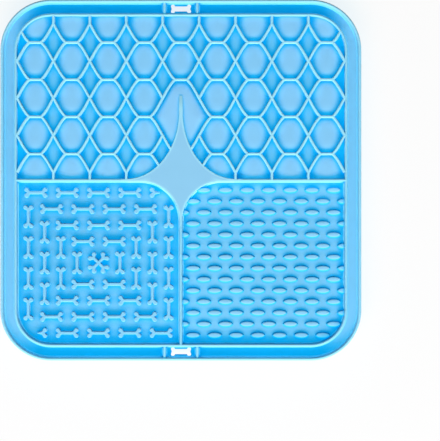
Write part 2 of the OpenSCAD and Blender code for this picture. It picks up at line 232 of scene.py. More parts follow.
def outward(outline):
    """Unit normals of closed outlines: the chord between each point's neighbours, turned a
    quarter turn clockwise."""
    chord = np.roll(outline, -1, axis=-2) - np.roll(outline, 1, axis=-2)
    normal = np.stack([chord[..., 1], -chord[..., 0]], axis=-1)
    return normal / np.maximum(np.linalg.norm(normal, axis=-1, keepdims=True), 1e-12)


def grid_faces(rows, columns, wrap_rows=False, wrap_columns=False):
    """Quads between neighbouring points of a grid that is counted row by row."""
    r, c = np.meshgrid(
        np.arange(rows if wrap_rows else rows - 1),
        np.arange(columns if wrap_columns else columns - 1),
        indexing="ij",
    )
    r, c = r.ravel(), c.ravel()
    down, right = (r + 1) % rows, (c + 1) % columns
    corners = [r * columns + c, r * columns + right, down * columns + right, down * columns + c]
    return np.stack(corners, axis=1)


def copies(points, faces):
    """Joins many grids of the same size: each copy's faces count on from the last copy's."""
    number, size = points.shape[0], points.shape[1]
    step = (np.arange(number) * size)[:, None, None]
    return points.reshape(-1, 3), (faces[None] + step).reshape(-1, 4)


def new_bmesh(parts, edge_share=None):
    """One bmesh that holds all the parts, each a pair of points and quads, with points that
    coincide merged, so that poles and seams close. An edge share, one number a point, is kept
    as an attribute for the material."""
    made = bmesh.new()
    holder = bpy.data.meshes.new("holder")
    points = [part.reshape(-1, 3) for part, _ in parts]
    starts = np.cumsum([0] + [len(part) for part in points])
    faces = np.concatenate([quads + start for (_, quads), start in zip(parts, starts)])
    holder.from_pydata(np.concatenate(points).tolist(), [], faces.tolist())
    if edge_share is not None:
        holder.attributes.new("edge_share", "FLOAT", "POINT")
        holder.attributes["edge_share"].data.foreach_set("value", edge_share)
    made.from_mesh(holder)
    bpy.data.meshes.remove(holder)
    bmesh.ops.remove_doubles(made, verts=made.verts, dist=merge_distance)
    return made


def fill(made, above):
    """Fills the free loops that lie above a level, each as one flat face."""
    free = [edge for edge in made.edges if edge.is_boundary and edge.verts[0].co.z > above]
    bmesh.ops.holes_fill(made, edges=free, sides=0)
    bmesh.ops.triangulate(made, faces=[face for face in made.faces if len(face.verts) > 4])


def new_piece(name, made, finish):
    """Turns a bmesh into a smooth-shaded piece that rides on the mat and stands for the node
    of its name."""
    bmesh.ops.recalc_face_normals(made, faces=made.faces)
    mesh = bpy.data.meshes.new(name)
    made.to_mesh(mesh)
    made.free()
    mesh.shade_smooth()
    mesh.set_sharp_from_angle(angle=sharp_angle)
    piece = bpy.data.objects.new(name, mesh)
    bpy.context.scene.collection.objects.link(piece)
    mesh.materials.append(finish)
    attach(piece, "root")
    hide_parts(name)


def stand(name, parts, finish, edge_share=None, top=None):
    """A piece that stands on the sheet. Where a top is given, the free loops above it are
    filled. Every edge that is still free is carried down into the sheet and closed there."""
    made = new_bmesh(parts, edge_share)
    if top is not None:
        fill(made, top)
    free = [edge for edge in made.edges if edge.is_boundary]
    for corner in bmesh.ops.extrude_edge_only(made, edges=free)["geom"]:
        if isinstance(corner, bmesh.types.BMVert):
            corner.co.z = sheet_top - sink
    fill(made, 0)
    new_piece(name, made, finish)


def new_group(name, inputs, outputs):
    """A node group with sockets of the given names and kinds, and its two ends."""
    group = bpy.data.node_groups.new(name, "ShaderNodeTree")
    for way, sockets in (("INPUT", inputs), ("OUTPUT", outputs)):
        for socket, kind in sockets.items():
            group.interface.new_socket(socket, in_out=way, socket_type="NodeSocket" + kind)
    return group, group.nodes.new("NodeGroupInput"), group.nodes.new("NodeGroupOutput")


def skin_group():
    """Satin skin of moulded silicone: a fine grain and a slow unevenness as a normal, and a
    roughness and a tint that wander a little from place to place."""
    group, given, result = new_group(
        "silicone_skin", {"Grain": "Float", "Rough": "Float"},
        {"Normal": "Vector", "Roughness": "Float", "Cloud": "Float"},
    )
    nodes, links = group.nodes, group.links
    place = nodes.new("ShaderNodeTexCoord")
    fine = nodes.new("ShaderNodeTexNoise")
    fine.inputs["Scale"].default_value = 2600
    fine.inputs["Detail"].default_value = 2
    slow = nodes.new("ShaderNodeTexNoise")
    slow.inputs["Scale"].default_value = 95
    slow.inputs["Detail"].default_value = 3
    links.new(place.outputs["Object"], fine.inputs["Vector"])
    links.new(place.outputs["Object"], slow.inputs["Vector"])
    slow_bump = nodes.new("ShaderNodeBump")
    slow_bump.inputs["Strength"].default_value = 0.25
    slow_bump.inputs["Distance"].default_value = 0.3 * mm
    links.new(slow.outputs["Fac"], slow_bump.inputs["Height"])
    fine_bump = nodes.new("ShaderNodeBump")
    fine_bump.inputs["Distance"].default_value = 0.03 * mm
    links.new(given.outputs["Grain"], fine_bump.inputs["Strength"])
    links.new(fine.outputs["Fac"], fine_bump.inputs["Height"])
    links.new(slow_bump.outputs["Normal"], fine_bump.inputs["Normal"])
    links.new(fine_bump.outputs["Normal"], result.inputs["Normal"])
    spread = nodes.new("ShaderNodeMath")
    spread.operation = "MULTIPLY_ADD"
    spread.inputs[1].default_value = 0.16
    links.new(slow.outputs["Fac"], spread.inputs[0])
    links.new(given.outputs["Rough"], spread.inputs[2])
    links.new(spread.outputs[0], result.inputs["Roughness"])
    links.new(slow.outputs["Fac"], result.inputs["Cloud"])
    return group


def painted_shade_group():
    """Painted shade in the hollows: how open the surface is, over the given reach, takes its
    colour from the shaded one, where it is shut in, to the pale one, where it is open."""
    group, given, result = new_group(
        "painted_hollow_shade",
        {
            "Pale": "Color", "Shaded": "Color",
            "Reach": "Float", "Shut": "Float", "Open": "Float", "Cloud": "Float",
        },
        {"Color": "Color"},
    )
    nodes, links = group.nodes, group.links
    openness = nodes.new("ShaderNodeAmbientOcclusion")
    openness.samples = 12
    links.new(given.outputs["Reach"], openness.inputs["Distance"])
    share = nodes.new("ShaderNodeMapRange")
    share.interpolation_type = "SMOOTHSTEP"
    links.new(openness.outputs["AO"], share.inputs["Value"])
    links.new(given.outputs["Shut"], share.inputs["From Min"])
    links.new(given.outputs["Open"], share.inputs["From Max"])
    tint = nodes.new("ShaderNodeMix")
    tint.data_type = "RGBA"
    links.new(share.outputs["Result"], tint.inputs["Factor"])
    links.new(given.outputs["Shaded"], tint.inputs["A"])
    links.new(given.outputs["Pale"], tint.inputs["B"])
    wander = nodes.new("ShaderNodeMapRange")
    wander.inputs["To Min"].default_value = 0.97
    wander.inputs["To Max"].default_value = 1.03
    links.new(given.outputs["Cloud"], wander.inputs["Value"])
    scaled = nodes.new("ShaderNodeVectorMath")
    scaled.operation = "SCALE"
    links.new(tint.outputs["Result"], scaled.inputs["Vector"])
    links.new(wander.outputs["Result"], scaled.inputs["Scale"])
    links.new(scaled.outputs["Vector"], result.inputs["Color"])
    return group


def outer_group():
    """How far out on the mat a point lies: the distance past a smaller square's edge or, in
    the corners, from its corner points, as a share from nothing at From to one at To. The
    sideways share grows round the corner, from the top or bottom edge to the side edge."""
    group, given, result = new_group(
        "outer_share", {"From": "Float", "To": "Float"}, {"Share": "Float", "Sideways": "Float"}
    )
    nodes, links = group.nodes, group.links
    place = nodes.new("ShaderNodeTexCoord")
    size, past, only_out, far = (nodes.new("ShaderNodeVectorMath") for _ in range(4))
    size.operation = "ABSOLUTE"
    links.new(place.outputs["Object"], size.inputs[0])
    past.operation = "SUBTRACT"
    past.inputs[1].default_value = (corner_inset, corner_inset, 1)
    links.new(size.outputs["Vector"], past.inputs[0])
    only_out.operation = "MAXIMUM"
    links.new(past.outputs["Vector"], only_out.inputs[0])
    far.operation = "LENGTH"
    links.new(only_out.outputs["Vector"], far.inputs[0])
    share = nodes.new("ShaderNodeMapRange")
    share.interpolation_type = "SMOOTHSTEP"
    links.new(far.outputs["Value"], share.inputs["Value"])
    links.new(given.outputs["From"], share.inputs["From Min"])
    links.new(given.outputs["To"], share.inputs["From Max"])
    links.new(share.outputs["Result"], result.inputs["Share"])
    parts = nodes.new("ShaderNodeSeparateXYZ")
    links.new(size.outputs["Vector"], parts.inputs["Vector"])
    sideways = nodes.new("ShaderNodeMapRange")
    sideways.interpolation_type = "SMOOTHSTEP"
    sideways.inputs["From Min"].default_value = side_tint_from
    sideways.inputs["From Max"].default_value = side_tint_to
    links.new(parts.outputs["X"], sideways.inputs["Value"])
    links.new(sideways.outputs["Result"], result.inputs["Sideways"])
    return group


silicone_skin = skin_group()
painted_hollow_shade = painted_shade_group()
outer_share = outer_group()
# The blue that the hollows are painted, as painted shade.
painted_shade_colour = (0.003, 0.41, 0.71)
glow_colour = (0.28, 0.84, 0.91)


def colour_mix(nodes, plain, other):
    """A node that mixes two colours."""
    mix = nodes.new("ShaderNodeMix")
    mix.data_type = "RGBA"
    mix.inputs["A"].default_value = (*plain[:3], 1)
    mix.inputs["B"].default_value = (*other[:3], 1)
    return mix


def silicone(name, pale, shaded, reach, shut, opened, rough=0.5):
    """A silicone finish between a pale colour in the open and a shaded colour painted into its
    hollows, as painted shade. Light that meets it on its way to a shaded place goes on tinted
    blue, as it does through the soft translucent walls."""
    finish = bpy.data.materials.new(name)
    finish.use_nodes = True
    nodes, links = finish.node_tree.nodes, finish.node_tree.links
    body = nodes["Principled BSDF"]
    body.inputs["Specular IOR Level"].default_value = 0.12
    skin = nodes.new("ShaderNodeGroup")
    skin.node_tree = silicone_skin
    skin.inputs["Grain"].default_value = 0.35
    skin.inputs["Rough"].default_value = rough
    shade_tint = nodes.new("ShaderNodeGroup")
    shade_tint.name = "shade_tint"
    shade_tint.node_tree = painted_hollow_shade
    shade_tint.inputs["Pale"].default_value = (*pale, 1)
    shade_tint.inputs["Shaded"].default_value = (*shaded, 1)
    for socket, value in (("Reach", reach), ("Shut", shut), ("Open", opened)):
        shade_tint.inputs[socket].default_value = value
    links.new(skin.outputs["Cloud"], shade_tint.inputs["Cloud"])
    links.new(skin.outputs["Normal"], body.inputs["Normal"])
    links.new(skin.outputs["Roughness"], body.inputs["Roughness"])
    links.new(shade_tint.outputs["Color"], body.inputs["Base Color"])
    path = nodes.new("ShaderNodeLightPath")
    through = nodes.new("ShaderNodeBsdfTransparent")
    through.inputs["Color"].default_value = (*glow_colour, 1)
    surface_mix(
        finish.node_tree, path.outputs["Is Shadow Ray"], body.outputs["BSDF"],
        through.outputs["BSDF"], "Material Output",
    )
    return finish


def painted_outer_shading(finish, low, high, pale, shaded, side_pale=None, side_shaded=None):
    """Paints another pale and shaded colour on a silicone finish towards the mat's edge, past the
    given distances from the smaller square, as painted light and shade. The side colours, where
    given, take their place towards the left and right edges."""
    nodes, links = finish.node_tree.nodes, finish.node_tree.links
    shade_tint = nodes["shade_tint"]
    outer = nodes.new("ShaderNodeGroup")
    outer.node_tree = outer_share
    outer.inputs["From"].default_value = low
    outer.inputs["To"].default_value = high
    for socket, colour, side in (("Pale", pale, side_pale), ("Shaded", shaded, side_shaded)):
        tint = colour_mix(nodes, shade_tint.inputs[socket].default_value, colour)
        links.new(outer.outputs["Share"], tint.inputs["Factor"])
        links.new(tint.outputs["Result"], shade_tint.inputs[socket])
        if side:
            turn = colour_mix(nodes, colour, side)
            links.new(outer.outputs["Sideways"], turn.inputs["Factor"])
            links.new(turn.outputs["Result"], tint.inputs["B"])


def stacked(flat, level):
    """Points of a stack of outlines, given flat, each at its own level, and their quads."""
    height = np.broadcast_to(level[:, None, None], (*flat.shape[:2], 1))
    return np.concatenate([flat, height], axis=2), grid_faces(*flat.shape[:2], wrap_columns=True)


def sheet_side(outline, way, edge_round):
    """A side of the sheet from its top to its underside, with both edges rounded: each
    outline is the given one, moved by what the edge has come in, along the given way."""
    come_in, dropped = quarter(edge_round, sheet_round_steps)
    move = np.concatenate([come_in[::-1], come_in])
    level = np.concatenate([sheet_top - dropped[::-1], sheet_base + dropped])
    return stacked(outline[None] + move[:, None, None] * way[None], level)


edge_centre, edge_way = rounded_square(sheet_half, sheet_corner, corner_steps)
hole = bone_outline(hole_length, hole_end, hole_waist, hole_notch)
sides = [sheet_side(edge_centre + sheet_corner * edge_way, -edge_way, sheet_edge_round)]
sides += [
    sheet_side(hole + [0, side * gutter_middle], outward(hole), hole_edge_round)
    for side in (1, -1)
]
sheet_mesh = new_bmesh(sides)
sheet_free = [edge for edge in sheet_mesh.edges if edge.is_boundary]
for level in (sheet_top, sheet_base):
    ring = [e for e in sheet_free if abs(e.verts[0].co.z - level) < sink]
    bmesh.ops.triangle_fill(sheet_mesh, edges=ring, use_beauty=True)
sheet_silicone = silicone(
    "sheet_silicone", (0.185, 0.555, 0.84), painted_shade_colour, 5 * mm, 0.54, 0.92
)
# The gutters are painted: the top and bottom ones a blue with almost no red, as painted shadow of
# the walls, and the left and right ones paler, as painted light where the light runs along them.
gutter_from = wall_outside - 2 * wall_half - corner_inset
painted_outer_shading(
    sheet_silicone, gutter_from, gutter_from + gutter_blend,
    (0.015, 0.40, 0.67), (0.003, 0.38, 0.64), (0.285, 0.56, 0.76), (0.25, 0.53, 0.735),
)
new_piece("base_sheet", sheet_mesh, sheet_silicone)

# Rim and inner wall. Two square walls with rounded corners and a round crest, moulded on the
# sheet with a small fillet at the foot. The gutter between them catches what spills over.
wall_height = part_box("inner_wall")[1][2] - sheet_top
wall_middle = wall_outside - wall_half
wall_inside = wall_middle - wall_half
wall_corner = wall_middle - corner_inset
wall_round = 0.55 * mm
wall_crown = 0.02 * mm
wall_draft = 0.15 * mm
wall_fillet = 0.6 * mm
# The walls are painted paler than the floor, as painted light on crests that catch more of it.
wall_silicone = silicone(
    "wall_silicone", (0.30, 0.74, 0.97), (0.004, 0.38, 0.66), 2.5 * mm, 0.4, 0.85
)


def wall_section(half, height, crest_round, draft=wall_draft, fillet=wall_fillet):
    """A moulded wall's section from its left foot over the crest to its right foot: a fillet
    of a quarter circle, a side that leans in by the draft, and a rounded edge of the crest,
    which is a hair lower than its middle."""
    turn = np.linspace(np.pi / 2, 0, 4)
    foot_x = half + draft + fillet - fillet * np.cos(turn)
    foot_z = fillet - fillet * np.sin(turn)
    come_in, dropped = quarter(crest_round, 5)
    side_x = np.concatenate([foot_x, half - come_in])
    side_z = np.concatenate([foot_z, height - wall_crown - dropped])
    if half > crest_round:
        side_x = np.append(side_x, 0)
        side_z = np.append(side_z, height)
    left = np.stack([-side_x, side_z], axis=1)
    return np.concatenate([left, left[-2::-1] * [-1, 1]])


def risen(flat, section):
    """Flat places of a section's points, put at the section's heights over the sheet's top."""
    height = np.broadcast_to(sheet_top + section[None, :, 1:], (*flat.shape[:2], 1))
    return np.concatenate([flat, height], axis=2)


def wall_loop(half, radius, section):
    """A section carried round a rounded square: each point lies its own offset further out
    than the outline, and the section is closed under the sheet's top, where it is sunk."""
    centre, way = rounded_square(half, radius, corner_steps)
    closed = np.concatenate([section, [[section[-1, 0], -sink], [section[0, 0], -sink]]])
    flat = centre[:, None] + (radius + closed[None, :, :1]) * way[:, None]
    return risen(flat, closed), grid_faces(*flat.shape[:2], wrap_rows=True, wrap_columns=True)


rim_section = wall_section(rim_half, wall_height, rim_half)
rim_section[:, 0] = np.minimum(rim_section[:, 0], rim_half)
new_piece(
    "outer_rim",
    new_bmesh([wall_loop(sheet_half - rim_half, sheet_corner - rim_half, rim_section)]),
    wall_silicone,
)
inner_section = wall_section(wall_half, wall_height, wall_round)
new_piece(
    "inner_wall",
    new_bmesh([wall_loop(wall_middle, wall_corner, inner_section)]),
    wall_silicone,
)

# Cross ribs of the hanging holes. Two short walls on each side box the hole in, so that what
# lies in the gutter can't run out through it. They end inside the rim and the inner wall.
hanger_rib_x = 9.1 * mm
hanger_rib_half = 0.7 * mm
hanger_rib_round = 0.45 * mm
hanger_rib_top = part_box("top_hanger_ribs")[1][2] - sheet_top


def sweep(path, section):
    """A section carried along a path in plan: each point lies its own offset to the right of
    the path, square to it, at its own height over the sheet's top."""
    along = np.gradient(path, axis=0)
    along = along / np.linalg.norm(along, axis=1, keepdims=True)
    right = np.stack([along[:, 1], -along[:, 0]], axis=1)
    flat = path[:, None] + section[None, :, :1] * right[:, None]
    return risen(flat, section), grid_faces(*flat.shape[:2])


def line(start, end, steps):
    """Points evenly spaced along a straight line in plan."""
    share = np.linspace(0, 1, steps)[:, None]
    return np.array(start) * (1 - share) + np.array(end) * share


hanger_section = wall_section(hanger_rib_half, hanger_rib_top, hanger_rib_round)
for side, name in ((1, "top_hanger_ribs"), (-1, "bottom_hanger_ribs")):
    ribs = [
        sweep(line((x, side * wall_middle), (x, side * (rim_inside + rim_half)), 4), hanger_section)
        for x in (-hanger_rib_x, hanger_rib_x)
    ]
    stand(name, ribs, wall_silicone)

# Dividers. Three straight walls run from the points of the star to the inner wall and part
# the hexagons from the bones and the ovals.
star_side_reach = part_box("left_divider")[1][0]
star_foot_reach = -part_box("lower_divider")[1][1]
divider_join = 0.6 * mm
divider_lines = (
    ("left_divider", (star_side_reach + divider_join, 0), (-wall_middle, 0)),
    ("right_divider", (-star_side_reach - divider_join, 0), (wall_middle, 0)),
    ("lower_divider", (0, -star_foot_reach + divider_join), (0, -wall_middle)),
)
for name, start, end in divider_lines:
    stand(name, [sweep(line(start, end, 12), inner_section)], wall_silicone)

# Star. A flat-topped star with hollow sides stands in the middle. Its side arms run out into
# the dividers, and from its upper point a narrow ridge sinks into the large dome behind it.
star_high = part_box("centre_star")[1]
star_reach = -star_side_reach
star_neck = 38.0 * mm
star_lower_radius = 21.9 * mm
star_hollow_centre = wall_half + star_lower_radius
star_drop = 0.02 * mm
arm_overrun = 3 * mm
star_round = 0.3 * mm
star_lip = 0.1 * mm
painted_highlight_width = 1.1 * mm
neck_half = 1.0 * mm
ridge_half = 1.1 * mm
ridge_round = 0.25 * mm
ridge_draft = 0.1 * mm
ridge_fillet = 0.3 * mm
ridge_narrowing = 0.2
ridge_start = star_neck - 2 * mm
ridge_end = star_high[1] + 0.4 * mm
ridge_end_height = 4.6 * mm
star_silicone = silicone(
    "star_silicone", (0.29, 0.64, 0.92), (0.03, 0.45, 0.84), 2.5 * mm, 0.2, 0.7, 0.52
)


def painted_edge_shading(finish, pale):
    """Gives a silicone finish another colour where its mesh has an edge share, painted along its
    edges: a painted highlight on the star, and painted shade on the ovals.
    """
    nodes, links = finish.node_tree.nodes, finish.node_tree.links
    shade_tint = nodes["shade_tint"]
    edge = nodes.new("ShaderNodeAttribute")
    edge.attribute_name = "edge_share"
    tint = colour_mix(nodes, shade_tint.inputs["Pale"].default_value, pale)
    links.new(edge.outputs["Fac"], tint.inputs["Factor"])
    links.new(tint.outputs["Result"], shade_tint.inputs["Pale"])


# The star's rounded edges and its ridge are painted paler, as a painted highlight of the light they
# catch.
painted_edge_shading(star_silicone, (0.37, 0.80, 1.0))


def star_outline():
    """The star's outline, counter-clockwise. Each lower side is a quarter circle that hollows
    it, and each upper side a quarter of an ellipse. The arms run out a little way inside
    their dividers."""
    arm_half = wall_half - star_drop
    foot = line((arm_half, -star_foot_reach - arm_overrun), (arm_half, -star_foot_reach - mm), 3)
    turn = np.linspace(np.pi, np.pi / 2, 28)
    lower = np.stack([
        star_hollow_centre + star_lower_radius * np.cos(turn),
        -star_hollow_centre + star_lower_radius * np.sin(turn),
    ], axis=1)
    arm_end = star_reach + arm_overrun
    arm = line((star_hollow_centre + mm, -arm_half), (arm_end, -arm_half), 8)
    arm_back = line((arm_end, arm_half), (star_reach + mm, arm_half), 3)
    rise = np.linspace(1.5 * np.pi, np.pi, 36)
    upper = np.stack([
        star_reach + (star_reach - neck_half) * np.cos(rise),
        star_neck + (star_neck - wall_half) * np.sin(rise),
    ], axis=1)
    right = np.concatenate([foot, lower, arm, arm_back, upper])
    return np.concatenate([right, right[::-1] * [-1, 1]])


def star_rings():
    """The star's side as a stack of outlines, each moved out or in along its normals, from the
    fillet at the foot over the rounded edge to the flat top. Inwards none goes past nine
    tenths of the arm's half width. The edge share is one on the side and the arms, and falls
    to nothing where the last outline has room to move in."""
    outline = star_outline()
    section = wall_section(star_round, wall_height - star_drop, star_round)
    side = section[: len(section) // 2 + 1]
    move = np.append(-side[:, 0], [-star_lip, -painted_highlight_width]) - star_round
    level = np.append(side[:, 1], [side[-1, 1], side[-1, 1]])
    room = 0.9 * np.abs(outline).min(axis=1)
    shift = np.maximum(move[:, None], -room[None])
    share = np.ones(shift.shape)
    share[-1] = 1 - np.clip(-2 * shift[-1] / (painted_highlight_width + star_round) - 1, 0, 1)
    flat = outline[None] + shift[..., None] * outward(outline)[None]
    return stacked(flat, sheet_top + level), share


def ridge_grid():
    """The ridge: a low wall's section carried up from the neck. Its height stays the star's
    up to the neck, and falls from there more and more, while it gets narrower."""
    section = wall_section(
        ridge_half, wall_height - 4 * star_drop, ridge_round, ridge_draft, ridge_fillet
    )
    points, faces = sweep(line((0, ridge_start), (0, ridge_end), 24), section)
    fall = np.clip((points[..., 1] - star_neck) / (ridge_end - star_neck), 0, 1) ** 2
    points[..., 0] *= 1 - ridge_narrowing * fall
    share = 1 - fall * (1 - ridge_end_height / wall_height)
    points[..., 2] = sheet_top + (points[..., 2] - sheet_top) * share
    return points, faces


star, star_share = star_rings()
ridge = ridge_grid()
stand(
    "centre_star", [star, ridge], star_silicone,
    edge_share=np.concatenate([star_share.ravel(), np.ones(ridge[0][..., 0].size)]),
    top=star[0][-1, 0, 2] - star_drop / 2,
)

# Hexagon ribs. A net of thin drafted ribs, all of one height, makes nine columns of hexagons
# with diamonds between them. The slanted ribs bow outwards a little before they meet a level one.
columns = 9
rows = 5
cell_half_width = wall_inside / columns
first_row = wall_half + 3.6 * mm
last_row = wall_inside - 4.2 * mm
row_pitch = (last_row - first_row) / (rows - 1)
row_heights = [first_row + i * row_pitch for i in range(rows)]
cell_half_height = row_pitch / 2
slant_share = 0.555
bow_reach = 1.05 * mm
star_cell_row = 1
rib_half = 0.62 * mm
rib_round = 0.25 * mm
rib_draft = 0.3 * mm
rib_drop = 0.04 * mm
rib_section = wall_section(rib_half, wall_height - rib_drop, rib_round, rib_draft)
# The ribs are painted paler than the cushions, as painted light on crests that catch more of it.
rib_silicone = silicone(
    "rib_silicone", (0.37, 0.81, 1.0), (0.004, 0.42, 0.70), 2 * mm, 0.35, 0.8
)


def slant(rise):
    """How far a slanted rib has gone sideways at a given rise from its crossing: a straight
    share of the rise, and a bow that grows with its fifth power."""
    share = rise / cell_half_height
    return slant_share * rise + bow_reach * share ** 5


def hold_in(flat, centre, way, radius):
    """Draws points that lie beyond a rounded corner back to it, towards its centre. The way's
    signs say which quarter it rounds."""
    away = flat - centre
    beyond = np.all(away * way > 0, axis=-1)
    far = np.linalg.norm(away, axis=-1)
    scale = np.where(beyond & (far > radius), radius / np.maximum(far, 1e-9), 1)
    return away * scale[..., None] + centre


def in_upper_field(points):
    """Keeps a piece of the upper field inside the middle line of the inner wall."""
    points[..., 0] = np.clip(points[..., 0], -wall_middle, wall_middle)
    points[..., 1] = np.clip(points[..., 1], -wall_half, wall_middle)
    for side in (-1, 1):
        centre = (side * corner_inset, corner_inset)
        points[..., :2] = hold_in(points[..., :2], centre, (side, 1), wall_corner)
    return points


def crossing_x(k):
    """Where the slanted ribs cross, counted from the left inner wall."""
    return (2 * k - columns) * cell_half_width


def rib(path):
    """A rib along a path, kept inside the inner wall."""
    points, faces = sweep(path, rib_section)
    return in_upper_field(points), faces


def slanted_ribs(lean, left_out):
    """All halves of the slanted ribs that lean one way, each from its crossing out to a level
    rib or wall. None lies outside the inner wall, and the two left out make room for the star."""
    rise = np.linspace(0, cell_half_height, 14)
    return [
        rib(np.stack([crossing_x(k) + lean * up * slant(rise), row_heights[i] + up * rise], axis=1))
        for i in range(rows) for k in range(columns + 1) for up in (-1, 1)
        if 0 <= 2 * k + lean * up <= 2 * columns and 0 <= 2 * i + up <= 2 * (rows - 1)
        and (i, k, up) not in left_out
    ]


star_left = (columns - 1) // 2
star_right = star_left + 1
rising = slanted_ribs(1, [(star_cell_row, star_left, 1), (star_cell_row + 1, star_right, -1)])
falling = slanted_ribs(-1, [(star_cell_row, star_right, 1), (star_cell_row + 1, star_left, -1)])
level_half = cell_half_width - slant(cell_half_height)
side_cells = (columns - 1) // 2
level = [
    rib(line(
        (2 * j * cell_half_width - level_half, row_heights[i] + cell_half_height),
        (2 * j * cell_half_width + level_half, row_heights[i] + cell_half_height), 8,
    ))
    for i in range(rows - 1) for j in range(-side_cells, side_cells + 1)
    if j != 0 or i > star_cell_row
]
upright = [
    rib(line((crossing_x(k), low), (crossing_x(k), high), 8))
    for k in range(1, columns) for low, high in ((0, first_row), (last_row, wall_middle))
]
for name, parts in (
    ("rising_ribs", rising), ("falling_ribs", falling),
    ("level_ribs", level), ("upright_ribs", upright),
):
    stand(name, parts, rib_silicone)

# Hexagon pillows. The floor of each hexagon swells up into a soft cushion that stays high
# beside the level ribs and sinks low into its left and right corners, row by row.
pillow_edge = 0.9 * mm
pillow_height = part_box("hexagon_pillows_2")[1][2] - sheet_top
pillow_steps = 23
end_fall_share = 0.55
side_fall_power = 1.2
pillow_silicone = silicone(
    "pillow_silicone", (0.245, 0.61, 0.93), painted_shade_colour, 5 * mm, 0.34, 0.86
)


def cell_width(rise):
    """Half width of a hexagon at a given height from its middle, up to its ribs' middle lines."""
    return cell_half_width - slant(np.abs(rise))


def cushion(centre_x, centre_y, half_width, low, high, height):
    """A cell's floor on a grid, scanned from its lower to its upper end. Its rise is what the
    height makes of its place and of two falls: one grows with the square of the distance
    sideways, and the other with the fourth power of the distance up or down."""
    across = np.linspace(-1, 1, pillow_steps)
    rise = np.linspace(low, high, pillow_steps)
    x = across[None] * half_width(rise)[:, None]
    y = np.broadcast_to(rise[:, None], x.shape)
    side_fall = (x / cell_half_width) ** 2
    end_fall = end_fall_share * np.abs(y / cell_half_height) ** 4
    swell = height(x, y, side_fall, end_fall)
    points = np.stack([centre_x + x, centre_y + y, sheet_top + swell], axis=2)
    return in_upper_field(points), grid_faces(pillow_steps, pillow_steps)


def barrel(x, y, side_fall, end_fall):
    """The hexagon's cushion: edge height plus the rise times what both falls leave, the
    sideways one to a power a little over one."""
    sideways = np.clip(1 - side_fall, 0, 1) ** side_fall_power
    return pillow_edge + (pillow_height - pillow_edge) * sideways * np.clip(1 - end_fall, 0, 1)


def hexagon_row(i):
    """The cushions of one row. The first and last rows end square at the divider and wall."""
    low = -first_row if i == 0 else -cell_half_height
    high = wall_middle - last_row if i == rows - 1 else cell_half_height

    def width(rise):
        if i == 0:
            rise = np.maximum(rise, 0)
        if i == rows - 1:
            rise = np.minimum(rise, 0)
        return cell_width(rise)

    return [
        cushion(2 * j * cell_half_width, row_heights[i], width, low, high, barrel)
        for j in range(-side_cells, side_cells + 1)
        if j != 0 or i > star_cell_row + 1
    ]


for i in range(rows):
    stand("hexagon_pillows_%d" % (i + 1), hexagon_row(i), pillow_silicone)

# Diamond pillows. The small four-sided cells between the hexagons have narrower cushions,
# which are high in the middle only. Those cut in half by the side walls stay almost flat.
diamond_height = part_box("diamond_pillows")[1][2] - sheet_top
diamond_half_width = slant(cell_half_height)
side_diamond_height = 1.1 * mm
diamond_side_power = 1.6
diamond_end_fall = 0.4
diamond_blend = 3 * mm
# The diamonds are painted darker than the hexagons' cushions, as painted shade of the ribs close
# round them.
diamond_silicone = silicone(
    "diamond_silicone", (0.13, 0.54, 0.88), painted_shade_colour, 5 * mm, 0.35, 0.92
)
# The half diamonds by the side walls are painted a deeper blue, as painted shade beside the walls.
side_diamond_from = wall_inside - 2 * cell_half_width / 3 - corner_inset
painted_outer_shading(
    diamond_silicone, side_diamond_from - diamond_blend, side_diamond_from,
    (0.02, 0.46, 0.80), (0.002, 0.42, 0.74),
)


def diamond_width(rise):
    """Half width of a diamond at a given height from its middle."""
    return slant(cell_half_height - np.abs(rise))


def diamond_swell(top):
    """The rise of a diamond: full in the middle, falling off sideways with a power of one less
    the square, and a little with the square towards its upper and lower points."""
    def swell(x, y, side_fall, end_fall):
        sideways = np.clip(1 - (x / diamond_half_width) ** 2, 0, 1) ** diamond_side_power
        lengthways = np.clip(1 - diamond_end_fall * (y / cell_half_height) ** 2, 0, 1)
        return pillow_edge + (top - pillow_edge) * sideways * lengthways
    return swell


diamonds = [
    cushion(
        crossing_x(k), row_heights[i] + cell_half_height, diamond_width,
        -cell_half_height, cell_half_height,
        diamond_swell(side_diamond_height if k in (0, columns) else diamond_height),
    )
    for i in range(rows - 1) for k in range(columns + 1)
    if i != star_cell_row or k not in (star_left, star_right)
]
stand("diamond_pillows", diamonds, diamond_silicone)

# Star pillow. One large cushion fills the tall cell round the star's upper point, and the
# ridge of the star runs out on it.
star_pillow_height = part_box("star_pillow")[1][2] - sheet_top
star_pillow_edge = 1.6 * mm
star_cell_middle = row_heights[star_cell_row] + cell_half_height
star_pillow_silicone = silicone(
    "star_pillow_silicone", (0.275, 0.63, 0.96), painted_shade_colour, 5 * mm, 0.35, 0.88, 0.52
)


def star_cell_width(rise):
    """Half width of the tall cell: a diamond on each side of its middle widens it there."""
    high = np.abs(rise)
    wide = cell_half_width + slant(np.clip(cell_half_height - high, 0, None))
    narrow = cell_half_width - slant(np.clip(high - cell_half_height, 0, None))
    return np.where(high < cell_half_height, wide, narrow)


def star_swell(x, y, side_fall, end_fall):
    """The rise of the large cushion: flat in the middle, and falling near the ribs with the
    fourth power of the distance sideways and the sixth of the distance up or down."""
    wide = star_cell_width(y)
    sideways = 1 - np.clip(np.abs(x) / np.maximum(wide, mm), 0, 1) ** 4
    lengthways = 1 - np.clip(np.abs(y) / row_pitch, 0, 1) ** 6
    return star_pillow_edge + (star_pillow_height - star_pillow_edge) * sideways * lengthways


star_cushion = cushion(0, star_cell_middle, star_cell_width, -row_pitch, row_pitch, star_swell)
stand("star_pillow", [star_cushion], star_pillow_silicone)

